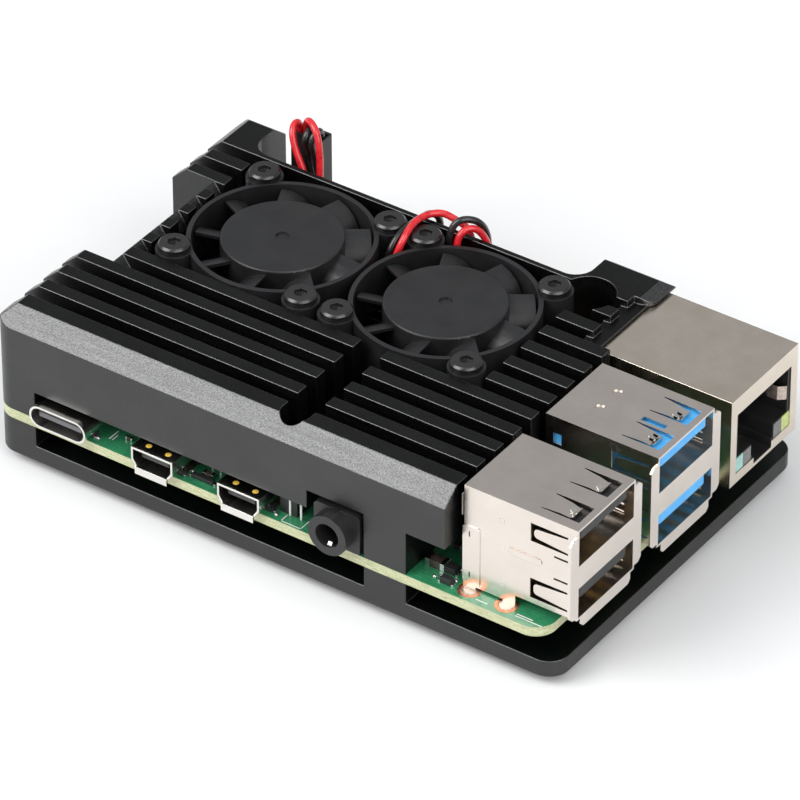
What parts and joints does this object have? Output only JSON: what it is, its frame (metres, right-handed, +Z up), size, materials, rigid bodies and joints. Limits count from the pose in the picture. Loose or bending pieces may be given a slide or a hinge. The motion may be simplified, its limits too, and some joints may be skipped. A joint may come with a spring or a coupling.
{
  "type": "single board computer",
  "caption": "Single board computer clamped between a finned black aluminium block with two small fans and a base plate, with sockets on two edges.",
  "frame": {"origin": "centre of the footprint, on the plane of the four screw heads it stands on", "axes": "+X from the card end towards the stacked sockets, +Y from the power and video sockets towards the pin header, +Z up"},
  "size_m": [0.0908, 0.0582, 0.0281],
  "materials": {
    "black_aluminium": "satin",
    "black_screw": "satin",
    "board_green": "gloss",
    "chip_black": "matte",
    "nickel": "satin",
    "pad_grey": "matte",
    "ceramic_tan": "matte",
    "led_clear": "gloss",
    "fan_plastic": "satin",
    "magnet_grey": "matte",
    "steel": "polished",
    "bearing_bronze": "satin",
    "copper": "satin",
    "lead_red": "gloss",
    "lead_black": "gloss",
    "connector_black": "satin",
    "connector_blue": "gloss",
    "connector_ivory": "satin",
    "gold": "polished"
  },
  "bodies": {
    "main": {"audio_contacts": "nickel", "audio_jack": "connector_black", "base_plate": "black_aluminium", "camera_connector": "connector_ivory", "card_socket": "connector_black", "case_screws": "black_screw", "circuit_board": "board_green", "display_connector": "connector_ivory", "ethernet_body": "connector_black", "ethernet_chip": "chip_black", "ethernet_contacts": "gold", "ethernet_light_pipes": "led_clear", "ethernet_shell": "nickel", "fan_left_bearing": "bearing_bronze", "fan_left_drive_board": "board_green", "fan_left_frame": "fan_plastic", "fan_left_lead_black": "lead_black", "fan_left_lead_red": "lead_red", "fan_left_stator": "copper", "fan_plug": "connector_black", "fan_plug_contacts": "gold", "fan_right_bearing": "bearing_bronze", "fan_right_drive_board": "board_green", "fan_right_frame": "fan_plastic", "fan_right_lead_black": "lead_black", "fan_right_lead_red": "lead_red", "fan_right_stator": "copper", "fan_screws": "black_screw", "gpio_header_body": "connector_black", "hdmi_inserts": "connector_black", "hdmi_shells": "nickel", "header_pins": "gold", "inductors": "chip_black", "memory_chip": "chip_black", "poe_header_body": "connector_black", "power_chip": "chip_black", "processor": "nickel", "small_parts": "ceramic_tan", "status_leds": "led_clear", "thermal_pads": "pad_grey", "top_block": "black_aluminium", "usb2_contacts": "gold", "usb2_insulator": "connector_black", "usb2_shell": "nickel", "usb3_contacts": "gold", "usb3_insulator": "connector_blue", "usb3_shell": "nickel", "usb_c_insert": "connector_black", "usb_c_shell": "nickel", "usb_controller": "chip_black", "wireless_shield": "nickel"},
    "fan_left_rotor": {"fan_left_impeller": "fan_plastic", "fan_left_magnet": "magnet_grey", "fan_left_shaft": "steel"},
    "fan_right_rotor": {"fan_right_impeller": "fan_plastic", "fan_right_magnet": "magnet_grey", "fan_right_shaft": "steel"},
    "storage_card": {"memory_card": "connector_black"},
    "camera_latch_bar": {"camera_latch": "connector_black"},
    "display_latch_bar": {"display_latch": "connector_black"}
  },
  "joints": [
    {"name": "fan_left_spin", "type": "hinge", "parent": "main", "child": "fan_left_rotor", "pos_m": [-0.02105, 0.00673, 0.02044], "axis": [0, 0, 1], "continuous": true},
    {"name": "fan_right_spin", "type": "hinge", "parent": "main", "child": "fan_right_rotor", "pos_m": [0.00456, 0.00673, 0.02044], "axis": [0, 0, 1], "continuous": true},
    {"name": "card_slide", "type": "slide", "parent": "main", "child": "storage_card", "axis": [-1, 0, 0], "range_m": [0, 0.0125]},
    {"name": "camera_latch_lift", "type": "slide", "parent": "main", "child": "camera_latch_bar", "axis": [0, 0, 1], "range_m": [0, 0.001]},
    {"name": "display_latch_lift", "type": "slide", "parent": "main", "child": "display_latch_bar", "axis": [0, 0, 1], "range_m": [0, 0.001]}
  ]
}
